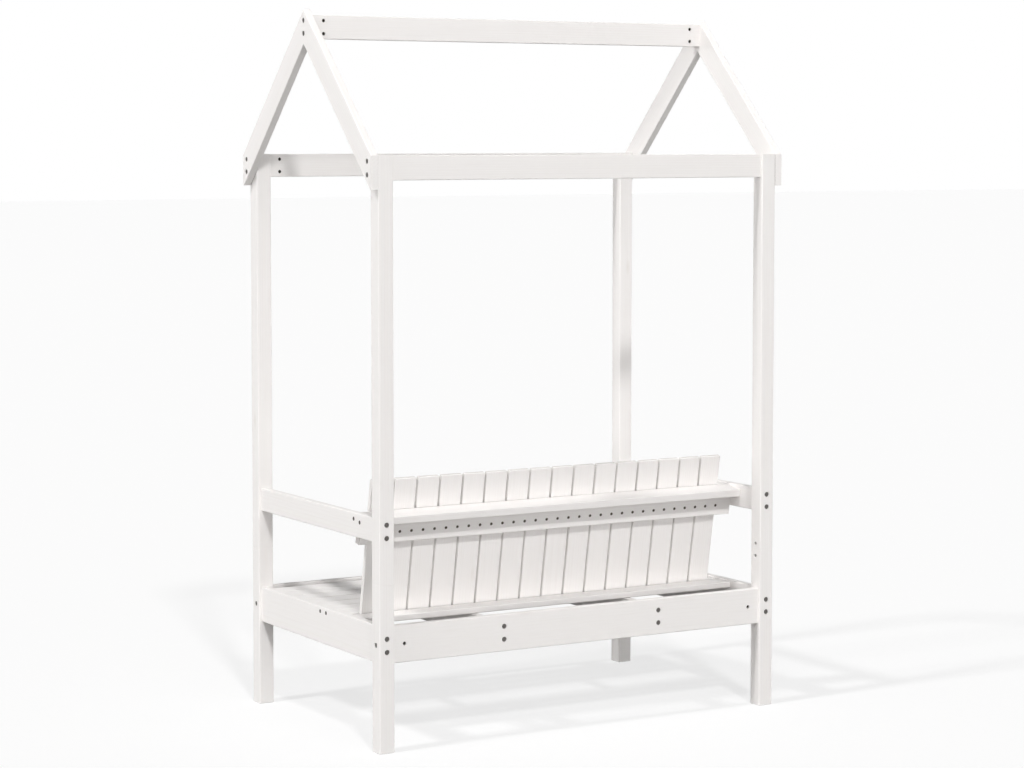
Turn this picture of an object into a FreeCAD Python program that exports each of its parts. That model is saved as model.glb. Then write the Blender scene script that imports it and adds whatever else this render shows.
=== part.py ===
import FreeCAD, Part
import os
import Sketcher
from FreeCAD import Placement, Rotation, Vector

# Arbour seat: a slatted timber bench between four square posts that carry a pitched, open roof frame.
# Millimetres. +Z is up, X runs along the seat, a sitter faces -Y.
# The origin lies on the ground, in the middle of the four posts.

SLATS = 16
FRONT_BOARDS = 7
SCREWED_BOARD = 1

# Driving sizes
SIZES = (
    # posts, each in a lower and an upper piece
    ("frame_width", 1286),
    ("frame_depth", 800),
    ("post_width", 45),
    ("post_height", 1600),
    ("post_joint_height", 455),
    ("post_edge", 3),
    ("post_end_chamfer", 0.7),
    # rails and aprons between the posts
    ("board_edge", 2.5),
    ("rail_thick", 22),
    ("rail_inset", 9),
    ("top_rail_height", 66),
    ("arm_rail_height", 66),
    ("arm_rail_bottom", 566),
    ("apron_height", 102),
    ("apron_bottom", 241),
    # seat
    ("joist_thick", 22),
    ("joist_height", 62),
    ("joist_drop", 22),
    ("joist_setback", 359),
    ("seat_board_thick", 18),
    ("seat_board_gap", 6),
    ("seat_board_edge", 3),
    ("seat_end_gap", 0.3),
    ("seat_front_margin", 27),
    ("back_slot_width", 19.5),
    # back rest, leaning to the rear
    ("back_setback", 206),
    ("back_tilt", 10),
    ("slat_margin", 36),
    ("slat_thick", 14),
    ("slat_gap", 6.4),
    ("slat_rise", 382),
    ("slat_edge", 2),
    ("slat_top_chamfer", 1.5),
    ("slat_foot_clearance", 2),
    ("plank_rise", 273),
    ("plank_deep", 66),
    ("plank_thick", 22),
    ("plank_screw_line", 38),
    ("batten_height", 66),
    ("batten_thick", 22),
    # roof
    ("roof_rise", 400),
    ("rafter_width", 68),
    ("rafter_thick", 22),
    ("rafter_toe", 6),
    ("ridge_height", 66),
    ("ridge_thick", 22),
    ("ridge_drop", 16),
    # bolts with barrel nuts
    ("bolt_size", 6),
    ("bolt_head_size", 10),
    ("bolt_head_height", 6),
    ("bolt_key_size", 4),
    ("bolt_key_depth", 1.5),
    ("bolt_spacing", 36),
    ("bolt_overrun", 5),
    ("bolt_clearance", 0.5),
    ("head_clearance", 2.2),
    ("head_recess", 0.5),
    ("nut_size", 10),
    ("nut_length", 12),
    ("nut_setback", 35),
    ("nut_clearance", 0.1),
    ("thread_clearance", 0.1),
    ("bore_slack", 2),
    # screws
    ("screw_size", 4),
    ("screw_clearance", 0.2),
    ("slat_screw_head", 8.5),
    ("slat_screw_length", 32),
    ("slat_screw_spacing", 36.2),
    ("slat_screw_height", 30),
    ("end_screw_head", 11),
    ("end_screw_length", 60),
)

# Sizes that follow from the driving ones; slats and boards are cut to fill their width with even gaps
DERIVED = (
    ("half_width", "frame_width / 2"),
    ("half_depth", "frame_depth / 2"),
    ("post_inner_x", "half_width - post_width"),
    ("post_inner_y", "half_depth - post_width"),
    ("post_line_x", "half_width - post_width / 2"),
    ("post_line_y", "half_depth - post_width / 2"),
    ("side_outer", "half_width - rail_inset"),
    ("side_inner", "side_outer - rail_thick"),
    ("side_middle", "side_outer - rail_thick / 2"),
    ("long_outer", "half_depth - rail_inset"),
    ("long_inner", "long_outer - rail_thick"),
    ("long_middle", "long_outer - rail_thick / 2"),
    ("top_rail_level", "post_height - top_rail_height / 2"),
    ("arm_rail_level", "arm_rail_bottom + arm_rail_height / 2"),
    ("apron_level", "apron_bottom + apron_height / 2"),
    ("joist_line", "side_inner - joist_setback"),
    ("seat_under", "apron_bottom + apron_height - joist_drop"),
    ("joist_level", "seat_under - joist_height / 2"),
    ("seat_level", "seat_under + seat_board_thick / 2"),
    ("seat_top", "seat_under + seat_board_thick"),
    ("back_position", "long_inner - back_setback"),
    ("slot_rear", "back_position + slat_foot_clearance"),
    ("slot_front", "slot_rear - back_slot_width"),
    ("seat_pitch", "(slot_front + long_inner - seat_front_margin + seat_board_gap) / %d" % FRONT_BOARDS),
    ("seat_board_width", "seat_pitch - seat_board_gap"),
    ("screwed_board_line", "slot_front - seat_board_width / 2 - %d * seat_pitch" % SCREWED_BOARD),
    ("slat_pitch", "(2 * (side_inner - slat_margin) + slat_gap) / %d" % SLATS),
    ("slat_width", "slat_pitch - slat_gap"),
    ("slat_length", "slat_rise + seat_board_thick"),
    ("slat_screw_rise", "plank_rise - batten_height + slat_screw_height"),
    ("ridge_level", "post_height + roof_rise - ridge_drop - ridge_height / 2"),
    ("rafter_line", "half_width + rafter_thick / 2"),
    ("rafter_outer", "half_width + rafter_thick"),
    ("rafter_plumb", "rafter_width * sqrt(1 + (roof_rise / half_depth) ^ 2)"),
    ("pair", "bolt_spacing / 2"),
    ("bolt_bore", "bolt_size + 2 * bolt_clearance"),
    ("head_bore", "bolt_head_size + 2 * head_clearance"),
    ("head_sink", "bolt_head_height + head_recess"),
    ("nut_bore", "nut_size + 2 * nut_clearance"),
    ("nut_x", "post_inner_x - nut_setback"),
    ("nut_y", "post_inner_y - nut_setback"),
    ("ridge_nut_x", "half_width - nut_setback"),
    ("joist_nut_y", "long_inner - nut_setback"),
    ("bolt_reach", "nut_setback + bolt_overrun"),
    ("end_bore_depth", "bolt_reach + bore_slack"),
    ("post_bolt_length", "post_width - head_sink + bolt_reach"),
    ("foot_bolt_length", "rafter_thick + post_bolt_length"),
    ("ridge_bolt_length", "rafter_thick - head_sink + bolt_reach"),
    ("joist_bolt_length", "rail_thick - head_sink + bolt_reach"),
    ("rod_reach", "pair + nut_size / 2 + bolt_overrun"),
    ("screw_bore", "screw_size + 2 * screw_clearance"),
)

ALIASES = {alias for alias, value in SIZES + DERIVED}
ENDS = (-1, 1)
SIDE_NAMES = {-1: "right", 1: "left"}
LONG_NAMES = {-1: "front", 1: "rear"}
DIRECTIONS = {"x": Vector(1, 0, 0), "y": Vector(0, 1, 0), "z": Vector(0, 0, 1)}
PLANES = {"x": "YZ_Plane", "y": "XZ_Plane", "z": "XY_Plane"}

doc = FreeCAD.newDocument("arbour_seat")
sheet = doc.addObject("Spreadsheet::Sheet", "sizes")
nodes = []
bores = []


def fill_sheet():
    """Writes every driving size as a plain number and every other size as a formula."""
    for row, (alias, value) in enumerate(SIZES + DERIVED, 1):
        cell = "B%d" % row
        sheet.set("A%d" % row, alias)
        sheet.set(cell, "=" + value if isinstance(value, str) else str(value))
        sheet.setAlias(cell, alias)
    doc.recompute()


def named(expression):
    """Points the size names in an expression at the sheet."""
    words = []
    for word in str(expression).replace("(", "( ").replace(")", " )").split():
        words.append("sizes." + word if word in ALIASES else word)
    return " ".join(words)


def bind(item, prop, expression):
    item.setExpression(prop, named(expression))


def place(item, prop, position):
    """Binds the three coordinates of a placement."""
    for axis, expression in zip("xyz", position):
        bind(item, prop + ".Base." + axis, expression)


def times(sign, expression):
    """An expression on the positive or the negative side."""
    return "%d * ( %s )" % (sign, expression)


def back_point(x, rearwards, upwards):
    """A point of the leaning back rest, as frame coordinates: from the slats' rear face at seat level."""
    y = "back_position + ( %s ) * sin(back_tilt) + ( %s ) * cos(back_tilt)" % (upwards, rearwards)
    z = "seat_top + ( %s ) * cos(back_tilt) - ( %s ) * sin(back_tilt)" % (upwards, rearwards)
    return x, y, z


def origin_part(body, role):
    return next(item for item in body.Origin.OriginFeatures if item.Role == role)


def section_sketch(body, run):
    sketch = body.newObject("Sketcher::SketchObject", body.Name + "_section")
    sketch.AttachmentSupport = (origin_part(body, PLANES[run]), [""])
    sketch.MapMode = "FlatFace"
    return sketch


def closed_outline(sketch, points):
    """Draws a closed chain of straight lines through the points."""
    count = len(points)
    sketch.addGeometry([Part.LineSegment(points[i], points[(i + 1) % count]) for i in range(count)], False)
    for i in range(count):
        sketch.addConstraint(Sketcher.Constraint("Coincident", i, 2, (i + 1) % count, 1))


def dimension(sketch, name, expression, *where):
    """Adds a driving distance to a sketch and binds it."""
    index = sketch.addConstraint(Sketcher.Constraint(*where))
    sketch.renameConstraint(index, name)
    bind(sketch, "Constraints." + name, expression)


def rectangle(sketch, across, upright):
    """A rectangle centred on the sketch's origin."""
    start = 10
    closed_outline(sketch, [Vector(-start, -start, 0), Vector(start, -start, 0),
                            Vector(start, start, 0), Vector(-start, start, 0)])
    for i in (0, 2):
        sketch.addConstraint(Sketcher.Constraint("Horizontal", i))
        sketch.addConstraint(Sketcher.Constraint("Vertical", i + 1))
    sketch.addConstraint(Sketcher.Constraint("Symmetric", 0, 1, 2, 1, -1, 1))
    dimension(sketch, "across", across, "DistanceX", 0, 1, 0, 2, 2 * start)
    dimension(sketch, "upright", upright, "DistanceY", 1, 1, 1, 2, 2 * start)


def pad_both_ways(body, sketch, length):
    pad = body.newObject("PartDesign::Pad", body.Name + "_length")
    pad.Profile = sketch
    pad.SideType = "Symmetric"
    bind(pad, "Length", length)
    doc.recompute()
    return pad


def is_along(edge, direction):
    return abs(edge.tangentAt(edge.FirstParameter).dot(direction)) > 0.999


def round_long_edges(body, pad, direction, radius):
    edges = ["Edge%d" % i for i, edge in enumerate(pad.Shape.Edges, 1) if is_along(edge, direction)]
    fillet = body.newObject("PartDesign::Fillet", body.Name + "_rounding")
    fillet.Base = (pad, edges)
    bind(fillet, "Radius", radius)
    doc.recompute()
    return fillet


def chamfer_ends(body, base, direction, size, ends=ENDS):
    """Takes the edges off the end faces of a timber."""
    faces = []
    for i, face in enumerate(base.Shape.Faces, 1):
        if face.normalAt(0, 0).dot(direction) * ends[0] > 0.999:
            faces.append("Face%d" % i)
        elif face.normalAt(0, 0).dot(direction) * ends[-1] > 0.999:
            faces.append("Face%d" % i)
    chamfer = body.newObject("PartDesign::Chamfer", body.Name + "_ends")
    chamfer.Base = (base, faces)
    bind(chamfer, "Size", size)


def new_body(name):
    body = doc.addObject("PartDesign::Body", name)
    body.Label = name
    nodes.append((body, 1))
    return body


class Timber:
    """A squared timber that runs along x, y or z, known by its centre.

    Leaning timbers give their centre and holes as x, rearwards and upwards in the back rest.
    """

    def __init__(self, name, run, centre, section, length, edge="board_edge", leaning=False):
        self.body = new_body(name)
        self.centre = centre
        sketch = section_sketch(self.body, run)
        rectangle(sketch, *section)
        self.direction = DIRECTIONS[run]
        pad = pad_both_ways(self.body, sketch, length)
        self.solid = round_long_edges(self.body, pad, self.direction, edge)
        if leaning:
            self.body.Placement = Placement(Vector(), Rotation(Vector(-1, 0, 0), 1))
            bind(self.body, "Placement.Rotation.Angle", "back_tilt")
            place(self.body, "Placement", back_point(*centre))
        else:
            place(self.body, "Placement", centre)

    def local(self, point):
        return ["( %s ) - ( %s )" % (value, middle) for value, middle in zip(point, self.centre)]

    def chamfer(self, size, ends=ENDS):
        chamfer_ends(self.body, self.solid, self.direction, size, ends)

    def bore(self, start, axis, sign, size, depth):
        return drill(self.body, self.local(start), axis, sign, size, depth)

    def sunk_bore(self, start, axis, sign, depth):
        """A bolt hole with the wider sink for its head."""
        self.bore(start, axis, sign, "bolt_bore", depth)
        self.bore(start, axis, sign, "head_bore", "head_sink")

    def screw_hole(self, start, axis, sign, depth, head=None):
        """A pilot hole, countersunk where a head size is given."""
        cuts = [self.bore(start, axis, sign, "screw_bore", depth)]
        if head:
            cuts.append(countersink(self.body, self.local(start), axis, sign, head))
        return cuts

    def repeat(self, cuts, count, spacing):
        """Repeats the cuts along the x axis."""
        row = self.body.newObject("PartDesign::LinearPattern", self.body.Name + "_row")
        row.Originals = cuts
        row.Direction = (origin_part(self.body, "X_Axis"), [""])
        row.Occurrences = count
        bind(row, "Length", "%d * %s" % (count - 1, spacing))
        self.body.Tip = row
        bores.append(row)


def cutter(body, kind, start, axis, sign):
    item = body.newObject(kind, body.Name + "_hole")
    item.Placement = Placement(Vector(), Rotation(Vector(0, 0, 1), DIRECTIONS[axis] * sign))
    place(item, "Placement", start)
    bores.append(item)
    return item


def drill(body, start, axis, sign, size, depth):
    hole = cutter(body, "PartDesign::SubtractiveCylinder", start, axis, sign)
    bind(hole, "Radius", "( %s ) / 2" % size)
    bind(hole, "Height", depth)
    return hole


def countersink(body, start, axis, sign, head):
    sink = cutter(body, "PartDesign::SubtractiveCone", start, axis, sign)
    bind(sink, "Radius1", "( %s ) / 2" % head)
    bind(sink, "Radius2", "screw_size / 2")
    bind(sink, "Height", "( %s - screw_size ) / 2" % head)
    return sink


def pairs(level):
    """The two levels of a pair of bolts."""
    return ["%s %s pair" % (level, sign) for sign in "-+"]


# Timber
def posts():
    """Four posts, each a lower and an upper piece joined end to end by a hidden rod."""
    for side in ENDS:
        for end in ENDS:
            name = "%s_%s_post" % (LONG_NAMES[end], SIDE_NAMES[side])
            lower_post(name + "_lower", side, end)
            upper_post(name + "_upper", side, end)


def post_piece(name, side, end, bottom, top):
    centre = (times(side, "post_line_x"), times(end, "post_line_y"), "( %s + %s ) / 2" % (bottom, top))
    post = Timber(name, "z", centre, ("post_width", "post_width"), "%s - %s" % (top, bottom), "post_edge")
    post.chamfer("post_end_chamfer")
    return post


def rod_seat(post, side, end, up):
    """The holes for half of the joint rod and one of its barrel nuts."""
    line = (times(side, "post_line_x"), times(end, "post_line_y"), "post_joint_height")
    post.bore(line, "z", up, "bolt_bore", "rod_reach + bore_slack")
    nut = (times(side, "post_inner_x"), line[1], "post_joint_height + %d * pair" % up)
    post.bore(nut, "x", side, "nut_bore", "( post_width + nut_length ) / 2")


def lower_post(name, side, end):
    post = post_piece(name, side, end, "0", "post_joint_height")
    rod_seat(post, side, end, -1)
    for level in pairs("apron_level"):
        face = (times(side, "post_line_x"), times(end, "half_depth"), level)
        post.sunk_bore(face, "y", -end, "post_width")
    flank = (times(side, "half_width"), times(end, "post_line_y"), "apron_level")
    post.sunk_bore(flank, "x", -side, "post_width")


def upper_post(name, side, end):
    post = post_piece(name, side, end, "post_joint_height", "post_height")
    rod_seat(post, side, end, 1)
    for level in pairs("arm_rail_level"):
        face = (times(side, "post_line_x"), times(end, "half_depth"), level)
        post.sunk_bore(face, "y", -end, "post_width")
    for level in pairs("top_rail_level"):
        flank = (times(side, "half_width"), times(end, "post_line_y"), level)
        post.bore(flank, "x", -side, "bolt_bore", "post_width")


def long_rail(name, end, level, height):
    centre = ("0", times(end, "long_middle"), level)
    return Timber(name, "x", centre, ("rail_thick", height), "2 * post_inner_x")


def top_rails():
    """Front and rear rails at the post tops, their barrel nuts let in from the inner faces."""
    for end in ENDS:
        rail = long_rail(LONG_NAMES[end] + "_top_rail", end, "top_rail_level", "top_rail_height")
        for side in ENDS:
            for level in pairs("top_rail_level"):
                line = times(end, "post_line_y")
                tip = (times(side, "post_inner_x"), line, level)
                rail.bore(tip, "x", -side, "bolt_bore", "end_bore_depth")
                nut = (times(side, "nut_x"), times(end, "long_inner"), level)
                rail.bore(nut, "y", end, "nut_bore", "post_line_y - long_inner + nut_length / 2")


def long_aprons():
    """Front and rear aprons, their barrel nuts let in from the outer faces."""
    for end in ENDS:
        apron = long_rail(LONG_NAMES[end] + "_apron", end, "apron_level", "apron_height")
        for side in ENDS:
            tip = (times(side, "post_inner_x"), times(end, "post_line_y"), "apron_level")
            apron.bore(tip, "x", -side, "bolt_bore", "end_bore_depth")
            nut = (times(side, "nut_x"), times(end, "long_outer"), "apron_level")
            apron.bore(nut, "y", -end, "nut_bore", "long_outer - post_line_y + nut_length / 2")
            for level in pairs("apron_level"):
                joist = (times(side, "joist_line"), times(end, "long_outer"), level)
                apron.sunk_bore(joist, "y", -end, "rail_thick")


def side_rail(name, side, level, height, inner_nuts=True):
    """A rail between a front and a rear post, its barrel nuts let in from the inner or the outer face."""
    if inner_nuts:
        face, cover, way = "side_inner", "post_line_x - side_inner", side
    else:
        face, cover, way = "side_outer", "side_outer - post_line_x", -side
    centre = (times(side, "side_middle"), "0", level)
    rail = Timber(name, "y", centre, ("rail_thick", height), "2 * post_inner_y")
    for end in ENDS:
        for bolt_level in pairs(level):
            tip = (times(side, "post_line_x"), times(end, "post_inner_y"), bolt_level)
            rail.bore(tip, "y", -end, "bolt_bore", "end_bore_depth")
            nut = (times(side, face), times(end, "nut_y"), bolt_level)
            rail.bore(nut, "x", way, "nut_bore", cover + " + nut_length / 2")
    return rail


def arm_rails():
    """Side rails at arm height, made alike and screwed into the ends of the back plank."""
    for side in ENDS:
        name = SIDE_NAMES[side] + "_arm_rail"
        rail = side_rail(name, side, "arm_rail_level", "arm_rail_height", inner_nuts=side > 0)
        for point in plank_screw_points(times(side, "side_outer")):
            rail.screw_hole(point, "x", -side, "rail_thick", "end_screw_head")


def side_aprons():
    """Side aprons at seat height, screwed into the ends of one seat board."""
    for side in ENDS:
        apron = side_rail(SIDE_NAMES[side] + "_apron", side, "apron_level", "apron_height")
        for point in seat_screw_points(times(side, "side_outer")):
            apron.screw_hole(point, "x", -side, "rail_thick", "end_screw_head")


def plank_screw_points(x):
    upwards = "plank_rise + plank_thick / 2"
    return [back_point(x, "plank_screw_line %s pair" % sign, upwards) for sign in "-+"]


def seat_screw_points(x):
    return [(x, "screwed_board_line %s pair" % sign, "seat_level") for sign in "-+"]


def joists():
    """Two joists under the seat boards, bolted from the faces of the front and rear aprons."""
    for side in ENDS:
        centre = (times(side, "joist_line"), "0", "joist_level")
        section = ("joist_thick", "joist_height")
        joist = Timber(SIDE_NAMES[side] + "_joist", "y", centre, section, "2 * long_inner")
        for end in ENDS:
            for level in pairs("apron_level"):
                tip = (centre[0], times(end, "long_inner"), level)
                joist.bore(tip, "y", -end, "bolt_bore", "end_bore_depth")
                nut = (times(side, "joist_line + joist_thick / 2"), times(end, "joist_nut_y"), level)
                joist.bore(nut, "x", -side, "nut_bore", "( joist_thick + nut_length ) / 2")


def seat_board(name, line):
    return Timber(name, "x", ("0", line, "seat_level"), ("seat_board_width", "seat_board_thick"),
                  "2 * ( side_inner - seat_end_gap )", "seat_board_edge")


def seat_boards():
    """Boards laid on the joists; the gap behind the front ones takes the feet of the back slats."""
    for index in range(FRONT_BOARDS):
        line = "slot_front - seat_board_width / 2 - %d * seat_pitch" % index
        board = seat_board("seat_board_%d" % (FRONT_BOARDS - index), line)
        if index == SCREWED_BOARD:
            for side in ENDS:
                for point in seat_screw_points(times(side, "side_inner - seat_end_gap")):
                    board.screw_hole(point, "x", -side, "end_screw_length - rail_thick + bore_slack")
    seat_board("seat_board_%d" % (FRONT_BOARDS + 1), "slot_rear + seat_board_width / 2")


def slat_line(index):
    """The x of a slat's middle; slat 1 is at the left end of the sitter's back."""
    return "%g * slat_pitch" % ((SLATS - 1) / 2 - index)


def slat_screw_lines(index):
    return ["%s %s slat_screw_spacing / 2" % (slat_line(index), sign) for sign in "-+"]


def back_slats():
    """Upright slats that stand in the slot of the seat and lean on the batten and the plank."""
    for index in range(SLATS):
        centre = (slat_line(index), "0 - slat_thick / 2", "( slat_rise - seat_board_thick ) / 2")
        slat = Timber("back_slat_%02d" % (index + 1), "z", centre, ("slat_width", "slat_thick"),
                      "slat_length", "slat_edge", leaning=True)
        slat.chamfer("slat_top_chamfer", ends=(1,))
        depth = "slat_screw_length - batten_thick + bore_slack / 2"
        for x in slat_screw_lines(index):
            slat.screw_hole((x, "0", "slat_screw_rise"), "y", -1, depth)


def slat_batten():
    """The board behind the slats that they are screwed to."""
    centre = ("0", "batten_thick / 2", "plank_rise - batten_height / 2")
    section = ("batten_thick", "batten_height")
    batten = Timber("slat_batten", "x", centre, section, "2 * side_inner", leaning=True)
    cuts = []
    for x in slat_screw_lines(SLATS - 1):
        start = (x, "batten_thick", "slat_screw_rise")
        cuts += batten.screw_hole(start, "y", -1, "batten_thick", "slat_screw_head")
    batten.repeat(cuts, SLATS, "slat_pitch")


def back_plank():
    """The flat plank on top of the batten, held between the arm rails."""
    centre = ("0", "plank_deep / 2", "plank_rise + plank_thick / 2")
    plank = Timber("back_plank", "x", centre, ("plank_deep", "plank_thick"), "2 * side_inner", leaning=True)
    for side in ENDS:
        for sign in "-+":
            tip = (times(side, "side_inner"), "plank_screw_line %s pair" % sign, centre[2])
            plank.screw_hole(tip, "x", -side, "end_screw_length - rail_thick + bore_slack")


# Roof
def rafter_sketch(body):
    """The side view of the rear rafter, from the plumb joint under the apex to the plumb foot."""
    sketch = section_sketch(body, "x")
    run, rise = sheet.get("half_depth"), sheet.get("roof_rise")
    toe, plumb = sheet.get("rafter_toe"), sheet.get("rafter_plumb")
    foot = toe * rise / run - plumb
    closed_outline(sketch, [Vector(0, rise, 0), Vector(0, rise - plumb, 0), Vector(run - toe, foot, 0),
                            Vector(run, foot, 0), Vector(run, 0, 0)])
    sketch.addConstraint(Sketcher.Constraint("PointOnObject", 0, 1, -2))
    sketch.addConstraint(Sketcher.Constraint("Vertical", 0))
    sketch.addConstraint(Sketcher.Constraint("Parallel", 1, 4))
    sketch.addConstraint(Sketcher.Constraint("Horizontal", 2))
    sketch.addConstraint(Sketcher.Constraint("Vertical", 3))
    sketch.addConstraint(Sketcher.Constraint("PointOnObject", 3, 2, -1))
    dimension(sketch, "rise", "roof_rise", "DistanceY", -1, 1, 0, 1, rise)
    dimension(sketch, "plumb", "rafter_plumb", "DistanceY", 0, 2, 0, 1, plumb)
    dimension(sketch, "toe", "rafter_toe", "DistanceX", 2, 1, 2, 2, toe)
    dimension(sketch, "run", "half_depth", "DistanceX", -1, 1, 3, 2, run)
    return sketch


def rafter(name, side, end):
    """One rafter, drawn as a rear one and turned half round for the front."""
    body = new_body(name)
    pad = pad_both_ways(body, rafter_sketch(body), "rafter_thick")
    slope = Vector(0, -sheet.get("half_depth"), sheet.get("roof_rise")).normalize()
    round_long_edges(body, pad, slope, "board_edge")
    body.Placement = Placement(Vector(), Rotation(DIRECTIONS["z"], 0 if end > 0 else 180))
    place(body, "Placement", (times(side, "rafter_line"), "0", "post_height"))
    out = side * end
    spots = [("post_line_y", level) for level in pairs("top_rail_level")]
    spots += [("0", level) for level in pairs("ridge_level")]
    for y, level in spots:
        start = (times(out, "rafter_thick / 2"), y, "%s - post_height" % level)
        drill(body, start, "x", -out, "bolt_bore", "rafter_thick")
        drill(body, start, "x", -out, "head_bore", "head_sink")


def rafters():
    for side in ENDS:
        for end in ENDS:
            rafter("%s_%s_rafter" % (LONG_NAMES[end], SIDE_NAMES[side]), side, end)


def ridge():
    """The ridge board between the rafter pairs, its barrel nuts let in from the rear."""
    centre = ("0", "0", "ridge_level")
    board = Timber("ridge_board", "x", centre, ("ridge_thick", "ridge_height"), "2 * half_width")
    for side in ENDS:
        for level in pairs("ridge_level"):
            board.bore((times(side, "half_width"), "0", level), "x", -side, "bolt_bore", "end_bore_depth")
            nut = (times(side, "ridge_nut_x"), "ridge_thick / 2", level)
            board.bore(nut, "y", -1, "nut_bore", "( ridge_thick + nut_length ) / 2")


# Fasteners
def rod(name, size, length):
    """A round bar that runs down from its own origin."""
    item = doc.addObject("Part::Cylinder", name)
    bind(item, "Radius", "( %s ) / 2" % size)
    bind(item, "Height", length)
    bind(item, "Placement.Base.z", "0 - ( %s )" % length)
    return item


def joined(name, kind, base, tool):
    item = doc.addObject(kind, name)
    item.Base = base
    item.Tool = tool
    return item


def socket_bolt(name, length):
    """A socket head bolt: its head stands on the origin and its shank runs down."""
    head = doc.addObject("Part::Cylinder", name + "_head")
    bind(head, "Radius", "bolt_head_size / 2")
    bind(head, "Height", "bolt_head_height")
    key = doc.addObject("Part::Prism", name + "_key")
    key.Polygon = 6
    bind(key, "Circumradius", "bolt_key_size / sqrt(3)")
    bind(key, "Height", "bolt_key_depth")
    bind(key, "Placement.Base.z", "bolt_head_height - bolt_key_depth")
    solid = joined(name + "_solid", "Part::Fuse", head, rod(name + "_shank", "bolt_size", length))
    return joined(name, "Part::Cut", solid, key)


def countersunk_screw(name, head, length):
    """A countersunk screw: its head is flush with the origin and its shank runs down."""
    cone = doc.addObject("Part::Cone", name + "_head")
    bind(cone, "Radius1", "screw_size / 2")
    bind(cone, "Radius2", "( %s ) / 2" % head)
    bind(cone, "Height", "( %s - screw_size ) / 2" % head)
    bind(cone, "Placement.Base.z", "0 - ( %s - screw_size ) / 2" % head)
    return joined(name, "Part::Fuse", cone, rod(name + "_shank", "screw_size", length))


def barrel_nut():
    """A cross dowel about its own z, with the bolt's hole along its x."""
    barrel = doc.addObject("Part::Cylinder", "barrel")
    bind(barrel, "Radius", "nut_size / 2")
    bind(barrel, "Height", "nut_length")
    bind(barrel, "Placement.Base.z", "0 - nut_length / 2")
    hole = doc.addObject("Part::Cylinder", "barrel_thread")
    hole.Placement = Placement(Vector(), Rotation(DIRECTIONS["z"], DIRECTIONS["x"]))
    bind(hole, "Radius", "bolt_size / 2 + thread_clearance")
    bind(hole, "Height", "2 * nut_size")
    bind(hole, "Placement.Base.x", "0 - nut_size")
    return joined("barrel_nut", "Part::Cut", barrel, hole)


def copy_at(pattern, position, rotation):
    link = doc.addObject("App::Link", pattern.Name + "_at")
    link.LinkedObject = pattern
    link.LinkPlacement = Placement(Vector(), rotation)
    place(link, "LinkPlacement", position)
    return link


def driven(pattern, position, axis, sign):
    """A bolt or screw whose shank points along the axis."""
    return copy_at(pattern, position, Rotation(Vector(0, 0, -1), DIRECTIONS[axis] * sign))


def group(name, copies):
    item = doc.addObject("Part::Compound", name)
    item.Label = name
    item.Links = copies
    nodes.append((item, len(copies)))


def corners():
    return [(side, end) for side in ENDS for end in ENDS]


def roof_bolts():
    """Bolts through the rafter feet and post tops into the rails, and through the apex into the ridge."""
    foot = socket_bolt("foot_bolt", "foot_bolt_length")
    top = socket_bolt("ridge_bolt", "ridge_bolt_length")
    seat = "rafter_outer - head_sink"
    copies = []
    for side, end in corners():
        for level in pairs("top_rail_level"):
            copies.append(driven(foot, (times(side, seat), times(end, "post_line_y"), level), "x", -side))
    for side in ENDS:
        for level in pairs("ridge_level"):
            copies.append(driven(top, (times(side, seat), "0", level), "x", -side))
    group("roof_bolts", copies)


def frame_bolts():
    """Bolts through the posts into the arm rails and the aprons."""
    bolt = socket_bolt("post_bolt", "post_bolt_length")
    arm, apron = [], []
    for side, end in corners():
        for copies, rail_level in ((arm, "arm_rail_level"), (apron, "apron_level")):
            for level in pairs(rail_level):
                seat = (times(side, "post_line_x"), times(end, "half_depth - head_sink"), level)
                copies.append(driven(bolt, seat, "y", -end))
        seat = (times(side, "half_width - head_sink"), times(end, "post_line_y"), "apron_level")
        apron.append(driven(bolt, seat, "x", -side))
    group("arm_rail_bolts", arm)
    group("apron_bolts", apron)


def joist_bolts():
    bolt = socket_bolt("joist_bolt", "joist_bolt_length")
    copies = []
    for side, end in corners():
        for level in pairs("apron_level"):
            seat = (times(side, "joist_line"), times(end, "long_outer - head_sink"), level)
            copies.append(driven(bolt, seat, "y", -end))
    group("joist_bolts", copies)


def barrel_nuts():
    """Barrel nuts, each square to its bolt: the roof's in one group, the frame's in another."""
    nut = barrel_nut()
    bolt_along_x = Rotation(DIRECTIONS["x"], 90)
    bolt_along_y = Rotation(Vector(1, 1, 1), 120)
    rod_upright = Rotation(Vector(1, 0, 1), 180)
    roof, frame = [], []
    for side, end in corners():
        for level in pairs("top_rail_level"):
            spot = (times(side, "nut_x"), times(end, "post_line_y"), level)
            roof.append(copy_at(nut, spot, bolt_along_x))
        for rail_level in ("arm_rail_level", "apron_level"):
            for level in pairs(rail_level):
                spot = (times(side, "post_line_x"), times(end, "nut_y"), level)
                frame.append(copy_at(nut, spot, bolt_along_y))
        spot = (times(side, "nut_x"), times(end, "post_line_y"), "apron_level")
        frame.append(copy_at(nut, spot, bolt_along_x))
        for level in pairs("apron_level"):
            spot = (times(side, "joist_line"), times(end, "joist_nut_y"), level)
            frame.append(copy_at(nut, spot, bolt_along_y))
        for level in pairs("post_joint_height"):
            spot = (times(side, "post_line_x"), times(end, "post_line_y"), level)
            frame.append(copy_at(nut, spot, rod_upright))
    for side in ENDS:
        for level in pairs("ridge_level"):
            roof.append(copy_at(nut, (times(side, "ridge_nut_x"), "0", level), bolt_along_x))
    group("roof_barrel_nuts", roof)
    group("frame_barrel_nuts", frame)


def post_joint_rods():
    """Threaded rods that hold the two pieces of each post together."""
    bar = doc.addObject("Part::Cylinder", "joint_rod")
    bind(bar, "Radius", "bolt_size / 2")
    bind(bar, "Height", "2 * rod_reach")
    copies = []
    for side, end in corners():
        foot = (times(side, "post_line_x"), times(end, "post_line_y"), "post_joint_height - rod_reach")
        copies.append(copy_at(bar, foot, Rotation()))
    group("post_joint_rods", copies)


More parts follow.
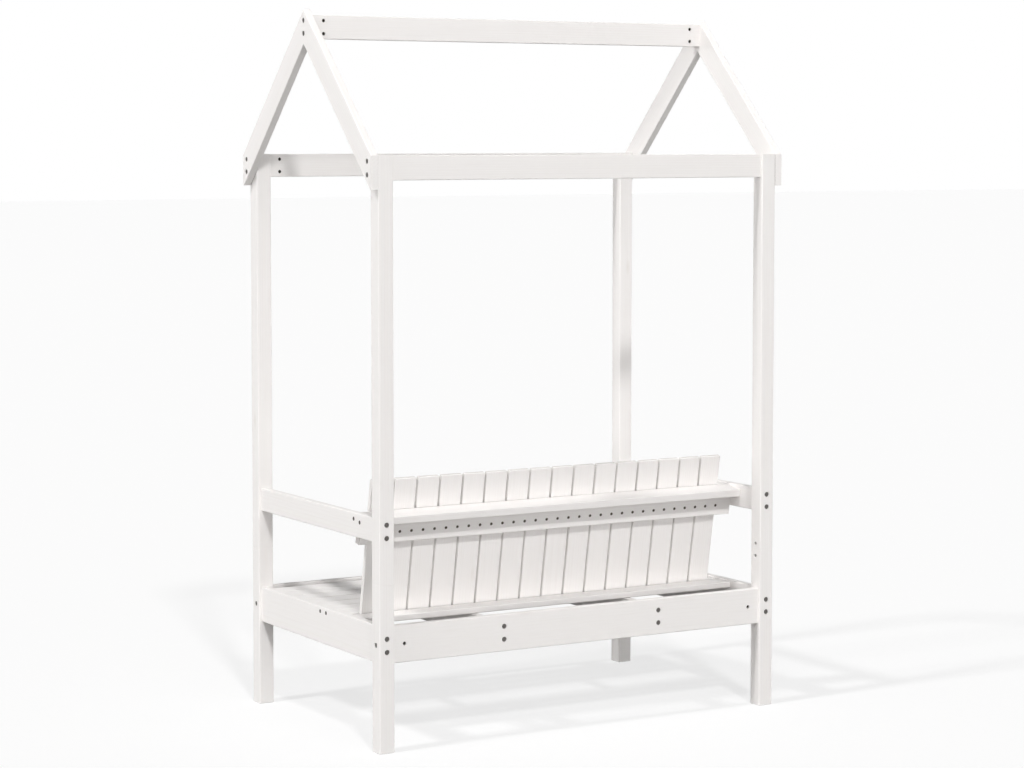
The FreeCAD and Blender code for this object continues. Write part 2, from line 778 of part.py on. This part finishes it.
def slat_screws():
    """Two screws into every slat, from the rear face of the batten."""
    screw = countersunk_screw("slat_screw", "slat_screw_head", "slat_screw_length")
    copies = []
    for index in range(SLATS):
        for x in slat_screw_lines(index):
            head = back_point(x, "batten_thick", "slat_screw_rise")
            link = copy_at(screw, head, Rotation(Vector(-1, 0, 0), 90))
            bind(link, "LinkPlacement.Rotation.Angle", "90 + back_tilt")
            copies.append(link)
    group("slat_screws", copies)


def end_screws():
    """Screws through the arm rails into the plank, and through the side aprons into one seat board."""
    screw = countersunk_screw("end_screw", "end_screw_head", "end_screw_length")
    plank, seat = [], []
    for side in ENDS:
        x = times(side, "side_outer")
        plank += [driven(screw, point, "x", -side) for point in plank_screw_points(x)]
        seat += [driven(screw, point, "x", -side) for point in seat_screw_points(x)]
    group("plank_screws", plank)
    group("seat_screws", seat)


def check():
    """Stops the build where an object failed, a shape is bad or a hole cuts nothing."""
    for item in doc.Objects:
        if "Invalid" in item.State or "Error" in item.State:
            raise RuntimeError("failed object: " + item.Label)
    for item in bores:
        if not item.Shape.Volume < item.BaseFeature.Shape.Volume:
            raise RuntimeError("a hole cuts nothing: " + item.Label)
    for item, count in nodes:
        shape = item.Shape
        if shape.isNull() or not shape.isValid() or len(shape.Solids) != count:
            raise RuntimeError("bad shape: " + item.Label)


def export():
    os.makedirs("parts", exist_ok=True)
    for item, count in nodes:
        item.Shape.exportStep("parts/%s.step" % item.Label)


def main():
    fill_sheet()
    posts()
    top_rails()
    long_aprons()
    arm_rails()
    side_aprons()
    joists()
    seat_boards()
    back_slats()
    slat_batten()
    back_plank()
    rafters()
    ridge()
    roof_bolts()
    frame_bolts()
    joist_bolts()
    barrel_nuts()
    post_joint_rods()
    slat_screws()
    end_screws()
    doc.recompute()
    check()
    export()


main()
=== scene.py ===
import math

import bpy
from bpy.props import FloatProperty, PointerProperty, StringProperty
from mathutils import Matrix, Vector

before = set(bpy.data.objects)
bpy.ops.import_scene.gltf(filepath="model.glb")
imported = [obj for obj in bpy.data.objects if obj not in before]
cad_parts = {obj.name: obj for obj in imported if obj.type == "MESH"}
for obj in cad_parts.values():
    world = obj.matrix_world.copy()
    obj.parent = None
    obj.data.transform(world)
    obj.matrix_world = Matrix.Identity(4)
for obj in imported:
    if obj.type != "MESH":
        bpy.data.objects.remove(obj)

bl_info = {
    "name": "Arbour seat finishes",
    "version": (1, 0, 0),
    "blender": (4, 5, 0),
    "location": "3D View > Sidebar > Arbour seat",
    "description": "Paints the timber of an arbour seat, finishes its fasteners and sets up the studio",
    "category": "Material",
}

MILLIMETRES = 1000.0
BACK_LEAN = 10.0
ROOF_PITCH = 45.0

# Length along the grain over width across it, for fibres, growth rings and knots
FIBRE_STRETCH = 40.0
RING_STRETCH = 16.0
KNOT_STRETCH = 3.4
# Length and width in millimetres of the areas where the rings show more or less
PATCH_LONG = 700.0
PATCH_WIDE = 70.0
# Scale at which a wave texture repeats once per unit
WAVE_UNIT = 0.314

# Shares of their full colour at which rings, fibres and knots print through the paint
RING_PRINT = 0.3
FIBRE_PRINT = 0.3
KNOT_PRINT = 0.4
# Heights of rings and knots over the height of the fibres
RING_RELIEF = 0.8
KNOT_RELIEF = 1.2
# Depth of the relief in metres
WOOD_RELIEF = 0.0002
PLATING_RELIEF = 0.00005
# Brightness of the dull spots in plating over that of the bright ones
DULL_PLATING = 0.7

FLOOR_SPAN = 120.0
# Where the lamps stand as seen from the seat, found from the shadows in the photograph
KEY_DIRECTION = (0.2975, 1.0, 0.844)
SIDE_DIRECTION = (1.0, 0.08, 1.15)
# Angular widths of the lamps in degrees
KEY_SPREAD = 5.0
SIDE_SPREAD = 6.0
CAMERA_PLACE = (3.9431, 6.7308, 1.6474)
CAMERA_PITCH = 3.948
CAMERA_HEADING = 149.77
CAMERA_SHIFT = (0.0062, -0.0586)
SENSOR_WIDTH = 36.0

# Turns that bring the grain of a piece onto the pattern's own x axis
GRAIN_TURNS = {
    "along the seat": (0.0, 0.0, 0.0),
    "front to rear": (0.0, 0.0, -90.0),
    "upright": (0.0, 90.0, 0.0),
    "leaning back": (BACK_LEAN, 90.0, 0.0),
    "up the rear slope": (-ROOF_PITCH, 90.0, 0.0),
    "up the front slope": (ROOF_PITCH, 90.0, 0.0),
}


class PaintedPineSizes(bpy.types.PropertyGroup):
    """Colours and pattern sizes of the painted timber."""
    paint: StringProperty(name="Paint", description="Colour of the paint where it lies thick",
                          default="#EBE8E6")
    thin_paint: StringProperty(name="Thin paint", description="Colour over the dark grain lines",
                               default="#E2DDDA")
    knot: StringProperty(name="Knot", description="Colour where a knot shows through",
                         default="#DAD4CC")
    end_grain: StringProperty(name="End grain", description="Colour of the thirsty sawn ends",
                              default="#E1DDDA")
    ring_mm: FloatProperty(name="Ring spacing", default=7.0, min=1.0,
                           description="Distance between growth rings in millimetres")
    fibre_mm: FloatProperty(name="Fibre width", description="Width of the raised fibres in millimetres",
                            default=2.4, min=0.2)
    knot_mm: FloatProperty(name="Knot spacing", default=90.0, min=10.0,
                           description="Distance between knots across a board in millimetres")
    # Painted shade: the colour that bores and narrow gaps darken towards, and how wide a gap that shade
    # reaches
    painted_gap_shade: StringProperty(name="Painted gap shade", default="#5E5850",
                         description="Colour of the painted shade in bores and narrow gaps")
    gap_mm: FloatProperty(name="Gap reach", default=12.0, min=0.1,
                          description="Width of the gaps that the painted shade reaches, in millimetres")
    roughness: FloatProperty(name="Roughness", description="Roughness of the satin paint",
                             default=0.46, min=0.0, max=1.0, subtype="FACTOR")


class FastenerSizes(bpy.types.PropertyGroup):
    """Colours of the bolts, nuts and screws."""
    bolt: StringProperty(name="Bolt", description="Colour of the dark plated bolts", default="#7A7672")
    nut: StringProperty(name="Barrel nut", default="#45403D",
                        description="Colour of the barrel nuts and rods")
    screw: StringProperty(name="Screw", description="Colour of the screws", default="#59524C")
    plating_mm: FloatProperty(name="Plating grain", default=1.5, min=0.1,
                              description="Size of the plating's mottle in millimetres")


class StudioSizes(bpy.types.PropertyGroup):
    """The floor, the lamps and the camera."""
    floor: StringProperty(name="Floor", description="Colour of the floor as the camera sees it",
                          default="#FFFFFF")
    bounce: StringProperty(name="Bounce", description="Colour of the floor as it lights the seat",
                           default="#7C7B7A")
    lift: FloatProperty(name="Shadow lift", description="Share of the floor's white that no shadow dims",
                        default=0.72, min=0.0, max=1.0, subtype="FACTOR")
    key: FloatProperty(name="Key", description="Strength of the key lamp", default=1.57, min=0.0)
    side: FloatProperty(name="Side", description="Strength of the side lamp", default=1.62, min=0.0)
    walls: FloatProperty(name="Walls", default=4.1, min=0.0,
                         description="Strength of the light from the studio walls at floor level")
    wall_rise: FloatProperty(name="Wall rise", default=0.36, min=0.01, max=1.0,
                             description="Sine of the elevation where the walls' light ends")
    lens: FloatProperty(name="Lens", description="Focal length in millimetres for a 36 mm wide sensor",
                        default=94.98, min=10.0, subtype="DISTANCE_CAMERA")


def linear(text):
    """An sRGB hex colour as linear red, green, blue and alpha."""
    values = [int(text[i:i + 2], 16) / 255 for i in (1, 3, 5)]
    return [v / 12.92 if v <= 0.04045 else ((v + 0.055) / 1.055) ** 2.4 for v in values] + [1.0]


def add_node(tree, kind, inputs=None, **settings):
    """Adds a node, sets its properties, and fills or links its inputs."""
    item = tree.nodes.new(kind)
    for name, value in settings.items():
        setattr(item, name, value)
    for name, value in (inputs or {}).items():
        if isinstance(value, bpy.types.NodeSocket):
            tree.links.new(value, item.inputs[name])
        else:
            item.inputs[name].default_value = value
    return item


def new_material(name):
    """An empty node material with its shader joined to the output."""
    material = bpy.data.materials.new(name)
    material.use_nodes = True
    tree = material.node_tree
    tree.nodes.clear()
    shader = add_node(tree, "ShaderNodeBsdfPrincipled")
    add_node(tree, "ShaderNodeOutputMaterial", {"Surface": shader.outputs["BSDF"]})
    return material, tree, shader


def blend_colour(tree, factor, first, second):
    mix = add_node(tree, "ShaderNodeMix", {0: factor, 6: first, 7: second}, data_type="RGBA")
    return mix.outputs[2]


def span(tree, value, low, high, to_low=0.0, to_high=1.0):
    """Spreads the part of a value between low and high over another range."""
    ramp = add_node(tree, "ShaderNodeMapRange", {"Value": value, "From Min": low, "From Max": high,
                                                 "To Min": to_low, "To Max": to_high})
    return ramp.outputs["Result"]


def maths(tree, operation, first, second=0.0):
    return add_node(tree, "ShaderNodeMath", {0: first, 1: second}, operation=operation).outputs[0]


def painted_pine(name, grain, sizes):
    """Planed pine under two coats of satin white paint.

    Sprayed over planed softwood: near white, with raised fibres and growth rings that print faintly
    through, a few knots and duller sawn ends. Bores and narrow gaps carry painted shade.
    """
    material, tree, shader = new_material(name)
    place = add_node(tree, "ShaderNodeTexCoord")
    turn = [math.radians(angle) for angle in GRAIN_TURNS[grain]]
    board = add_node(tree, "ShaderNodeMapping", {
        "Vector": place.outputs["Object"], "Rotation": turn, "Scale": (MILLIMETRES,) * 3}).outputs[0]

    def cells(across, stretch):
        """Coordinates in cells that are so many millimetres across the grain, and stretched along it."""
        scale = (1 / (across * stretch), 1 / across, 1 / across)
        return add_node(tree, "ShaderNodeMapping", {"Vector": board, "Scale": scale}).outputs[0]

    fibres = add_node(tree, "ShaderNodeTexNoise", {
        "Vector": cells(sizes.fibre_mm, FIBRE_STRETCH), "Scale": 1.0, "Detail": 3.0, "Roughness": 0.55})
    rings = add_node(tree, "ShaderNodeTexWave", {
        "Vector": cells(sizes.ring_mm, RING_STRETCH), "Scale": WAVE_UNIT, "Distortion": 5.0, "Detail": 1.5,
        "Detail Scale": 0.6}, wave_type="RINGS", rings_direction="X", wave_profile="SAW")
    knot_cells = add_node(tree, "ShaderNodeTexVoronoi", {
        "Vector": cells(sizes.knot_mm, KNOT_STRETCH), "Scale": 1.0, "Randomness": 1.0})
    knots = span(tree, knot_cells.outputs["Distance"], 0.1, 0.02)
    patches = add_node(tree, "ShaderNodeTexNoise", {
        "Vector": cells(PATCH_WIDE, PATCH_LONG / PATCH_WIDE), "Scale": 1.0, "Detail": 1.0})
    late_wood = maths(tree, "MULTIPLY", span(tree, rings.outputs["Fac"], 0.45, 1.0),
                      span(tree, patches.outputs["Fac"], 0.3, 0.75))
    print_through = maths(tree, "ADD", maths(tree, "MULTIPLY", late_wood, RING_PRINT),
                          span(tree, fibres.outputs["Fac"], 0.45, 0.8, 0.0, FIBRE_PRINT))
    colour = blend_colour(tree, print_through, linear(sizes.paint), linear(sizes.thin_paint))
    colour = blend_colour(tree, maths(tree, "MULTIPLY", knots, KNOT_PRINT), colour, linear(sizes.knot))

    # Sawn ends face along the grain
    facing = add_node(tree, "ShaderNodeNewGeometry").outputs["Normal"]
    turned = add_node(tree, "ShaderNodeMapping", {"Vector": facing, "Rotation": turn},
                      vector_type="POINT").outputs[0]
    along = add_node(tree, "ShaderNodeSeparateXYZ", {"Vector": turned}).outputs["X"]
    sawn = span(tree, maths(tree, "ABSOLUTE", along), 0.9, 0.98)
    colour = blend_colour(tree, sawn, colour, linear(sizes.end_grain))

    # Painted shade: bores and narrow gaps darken towards the shade colour the more they are closed in.
    # A flat face counts as fully open and an inner corner as half open, so both keep the paint colour.
    openness = add_node(tree, "ShaderNodeAmbientOcclusion", {"Distance": sizes.gap_mm / MILLIMETRES},
                        samples=8).outputs["AO"]
    painted_shade_mask = span(tree, openness, 0.38, 0.08)
    colour = blend_colour(tree, painted_shade_mask, colour, linear(sizes.painted_gap_shade))
    tree.links.new(colour, shader.inputs["Base Color"])

    wear = span(tree, fibres.outputs["Fac"], 0.3, 0.7, sizes.roughness - 0.05, sizes.roughness + 0.07)
    roughness = maths(tree, "ADD", wear, maths(tree, "MULTIPLY", sawn, 0.2))
    tree.links.new(roughness, shader.inputs["Roughness"])
    relief = maths(tree, "ADD", fibres.outputs["Fac"], maths(tree, "MULTIPLY", late_wood, RING_RELIEF))
    relief = maths(tree, "SUBTRACT", relief, maths(tree, "MULTIPLY", knots, KNOT_RELIEF))
    bump = add_node(tree, "ShaderNodeBump", {"Height": relief, "Strength": 0.25, "Distance": WOOD_RELIEF})
    tree.links.new(bump.outputs["Normal"], shader.inputs["Normal"])
    return material


def plated_steel(name, colour, mottle_mm, roughness):
    """Plated steel.

    Cold-formed and plated: a dull, slightly mottled metal with soft highlights on its edges.
    """
    material, tree, shader = new_material(name)
    place = add_node(tree, "ShaderNodeTexCoord")
    scaled = add_node(tree, "ShaderNodeMapping", {
        "Vector": place.outputs["Object"], "Scale": (MILLIMETRES / mottle_mm,) * 3}).outputs[0]
    mottle = add_node(tree, "ShaderNodeTexNoise", {
        "Vector": scaled, "Scale": 1.0, "Detail": 3.0}).outputs["Fac"]
    base = linear(colour)
    dull = [value * DULL_PLATING for value in base[:3]] + [1.0]
    tree.links.new(blend_colour(tree, span(tree, mottle, 0.35, 0.7), base, dull), shader.inputs["Base Color"])
    wear = span(tree, mottle, 0.3, 0.7, roughness - 0.08, roughness + 0.1)
    tree.links.new(wear, shader.inputs["Roughness"])
    shader.inputs["Metallic"].default_value = 1.0
    bump = add_node(tree, "ShaderNodeBump", {"Height": mottle, "Strength": 0.2, "Distance": PLATING_RELIEF})
    tree.links.new(bump.outputs["Normal"], shader.inputs["Normal"])
    return material


def finish_nodes(material, belongs):
    """Gives a material to every CAD node whose name fits."""
    found = [item for name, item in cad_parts.items() if belongs(name)]
    if not found:
        raise RuntimeError("no node takes " + material.name)
    for item in found:
        item.data.materials.clear()
        item.data.materials.append(material)


def paint(context, name, grain, belongs):
    finish_nodes(painted_pine(name, grain, context.scene.painted_pine), belongs)


class ARBOUR_OT_posts(bpy.types.Operator):
    """Paints the four posts, whose grain runs upright"""
    bl_idname = "arbour.posts"
    bl_label = "Posts"

    def execute(self, context):
        paint(context, "painted_pine_posts", "upright",
              lambda name: name.endswith(("_post_lower", "_post_upper")))
        return {"FINISHED"}


class ARBOUR_OT_rails(bpy.types.Operator):
    """Paints the rails, aprons and joists"""
    bl_idname = "arbour.rails"
    bl_label = "Rails, aprons and joists"

    def execute(self, context):
        long_pieces = ("front_top_rail", "rear_top_rail", "front_apron", "rear_apron")
        side_pieces = [side + piece for side in ("left", "right")
                       for piece in ("_arm_rail", "_apron", "_joist")]
        paint(context, "painted_pine_long_rails", "along the seat", lambda name: name in long_pieces)
        paint(context, "painted_pine_side_rails", "front to rear", lambda name: name in side_pieces)
        return {"FINISHED"}


class ARBOUR_OT_seat(bpy.types.Operator):
    """Paints the seat boards"""
    bl_idname = "arbour.seat"
    bl_label = "Seat boards"

    def execute(self, context):
        paint(context, "painted_pine_seat", "along the seat", lambda name: name.startswith("seat_board"))
        return {"FINISHED"}


class ARBOUR_OT_back(bpy.types.Operator):
    """Paints the leaning slats, their batten and the plank behind them"""
    bl_idname = "arbour.back"
    bl_label = "Back rest"

    def execute(self, context):
        paint(context, "painted_pine_slats", "leaning back", lambda name: name.startswith("back_slat"))
        paint(context, "painted_pine_plank", "along the seat",
              lambda name: name in ("slat_batten", "back_plank"))
        return {"FINISHED"}


class ARBOUR_OT_roof(bpy.types.Operator):
    """Paints the rafters and the ridge board"""
    bl_idname = "arbour.roof"
    bl_label = "Roof"

    def execute(self, context):
        paint(context, "painted_pine_ridge", "along the seat", lambda name: name == "ridge_board")
        for end in ("rear", "front"):
            paint(context, "painted_pine_%s_rafters" % end, "up the %s slope" % end,
                  lambda name: name.startswith(end) and name.endswith("rafter"))
        return {"FINISHED"}


class ARBOUR_OT_fasteners(bpy.types.Operator):
    """Finishes the bolts, barrel nuts, rods and screws"""
    bl_idname = "arbour.fasteners"
    bl_label = "Fasteners"

    def execute(self, context):
        sizes = context.scene.arbour_fasteners
        finish_nodes(plated_steel("plated_bolt_steel", sizes.bolt, sizes.plating_mm, 0.38),
                     lambda name: name.endswith("_bolts"))
        finish_nodes(plated_steel("plated_nut_steel", sizes.nut, sizes.plating_mm, 0.5),
                     lambda name: name.endswith("barrel_nuts") or name == "post_joint_rods")
        finish_nodes(plated_steel("plated_screw_steel", sizes.screw, sizes.plating_mm, 0.42),
                     lambda name: name.endswith("_screws"))
        return {"FINISHED"}


def seen_directly(tree):
    """One for what the camera sees, also in metal or through glass, and zero for light on its way."""
    path = add_node(tree, "ShaderNodeLightPath")
    seen = maths(tree, "MAXIMUM", path.outputs["Is Camera Ray"], path.outputs["Is Glossy Ray"])
    return maths(tree, "MAXIMUM", seen, path.outputs["Is Transmission Ray"])


def floor_material(sizes):
    """Matt white studio floor.

    White to the camera, with a pale shadow, and grey where it lights the seat.
    """
    material, tree, shader = new_material("matt_studio_floor")
    seen = seen_directly(tree)
    white = [value * (1.0 - sizes.lift) for value in linear(sizes.floor)[:3]] + [1.0]
    tree.links.new(blend_colour(tree, seen, linear(sizes.bounce), white), shader.inputs["Base Color"])
    shader.inputs["Emission Color"].default_value = (1.0, 1.0, 1.0, 1.0)
    tree.links.new(maths(tree, "MULTIPLY", seen, sizes.lift), shader.inputs["Emission Strength"])
    shader.inputs["Roughness"].default_value = 0.9
    shader.inputs["Specular IOR Level"].default_value = 0.0
    return material


def sun(name, towards, strength, spread):
    """A distant lamp that shines from the given direction; spread is its angular width in degrees."""
    data = bpy.data.lights.new(name, "SUN")
    data.energy = strength
    data.angle = math.radians(spread)
    lamp = bpy.data.objects.new(name, data)
    lamp.rotation_euler = Vector(towards).to_track_quat("Z", "Y").to_euler()
    bpy.context.scene.collection.objects.link(lamp)


def studio_walls(sizes):
    """White walls that light the seat from low down, and are pure white to the camera."""
    world = bpy.data.worlds.new("studio_walls")
    bpy.context.scene.world = world
    world.use_nodes = True
    tree = world.node_tree
    tree.nodes.clear()
    direction = add_node(tree, "ShaderNodeTexCoord").outputs["Generated"]
    height = add_node(tree, "ShaderNodeSeparateXYZ", {"Vector": direction}).outputs["Z"]
    glow = span(tree, height, 0.0, sizes.wall_rise, sizes.walls, 0.0)
    strength = add_node(tree, "ShaderNodeMix", {0: seen_directly(tree), 2: glow, 3: 1.0},
                        data_type="FLOAT").outputs[0]
    light = add_node(tree, "ShaderNodeBackground", {"Color": (1, 1, 1, 1), "Strength": strength})
    add_node(tree, "ShaderNodeOutputWorld", {"Surface": light.outputs[0]})


class ARBOUR_OT_stage(bpy.types.Operator):
    """Adds the floor, the lamps, the studio walls and the camera"""
    bl_idname = "arbour.stage"
    bl_label = "Stage"

    def execute(self, context):
        sizes = context.scene.arbour_studio
        bpy.ops.object.select_all(action="DESELECT")
        bpy.ops.mesh.primitive_plane_add(size=FLOOR_SPAN, location=(0.0, 0.0, 0.0))
        floor = context.object
        floor.name = "studio_floor"
        floor.data.materials.append(floor_material(sizes))
        sun("key_lamp", KEY_DIRECTION, sizes.key, KEY_SPREAD)
        sun("side_lamp", SIDE_DIRECTION, sizes.side, SIDE_SPREAD)
        studio_walls(sizes)
        data = bpy.data.cameras.new("viewpoint")
        data.sensor_width = SENSOR_WIDTH
        data.lens = sizes.lens
        data.shift_x, data.shift_y = CAMERA_SHIFT
        camera = bpy.data.objects.new("viewpoint", data)
        camera.location = CAMERA_PLACE
        camera.rotation_euler = (math.radians(90.0 - CAMERA_PITCH), 0.0, math.radians(CAMERA_HEADING))
        context.scene.collection.objects.link(camera)
        context.scene.camera = camera
        context.scene.view_settings.view_transform = "Standard"
        return {"FINISHED"}


STEPS = (ARBOUR_OT_stage, ARBOUR_OT_posts, ARBOUR_OT_rails, ARBOUR_OT_seat, ARBOUR_OT_back,
         ARBOUR_OT_roof, ARBOUR_OT_fasteners)


class ARBOUR_PT_panel(bpy.types.Panel):
    """Lists the steps that finish the seat"""
    bl_idname = "ARBOUR_PT_panel"
    bl_label = "Arbour seat"
    bl_space_type = "VIEW_3D"
    bl_region_type = "UI"
    bl_category = "Arbour seat"

    def draw(self, context):
        for step in STEPS:
            self.layout.operator(step.bl_idname)


CLASSES = (PaintedPineSizes, FastenerSizes, StudioSizes) + STEPS + (ARBOUR_PT_panel,)


def register():
    for item in CLASSES:
        bpy.utils.register_class(item)
    bpy.types.Scene.painted_pine = PointerProperty(type=PaintedPineSizes)
    bpy.types.Scene.arbour_fasteners = PointerProperty(type=FastenerSizes)
    bpy.types.Scene.arbour_studio = PointerProperty(type=StudioSizes)


def unregister():
    del bpy.types.Scene.arbour_studio
    del bpy.types.Scene.arbour_fasteners
    del bpy.types.Scene.painted_pine
    for item in reversed(CLASSES):
        bpy.utils.unregister_class(item)


def main():
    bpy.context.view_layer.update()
    register()
    bpy.ops.arbour.stage()
    bpy.ops.arbour.posts()
    bpy.ops.arbour.rails()
    bpy.ops.arbour.seat()
    bpy.ops.arbour.back()
    bpy.ops.arbour.roof()
    bpy.ops.arbour.fasteners()


if __name__ == "__main__":
    main()
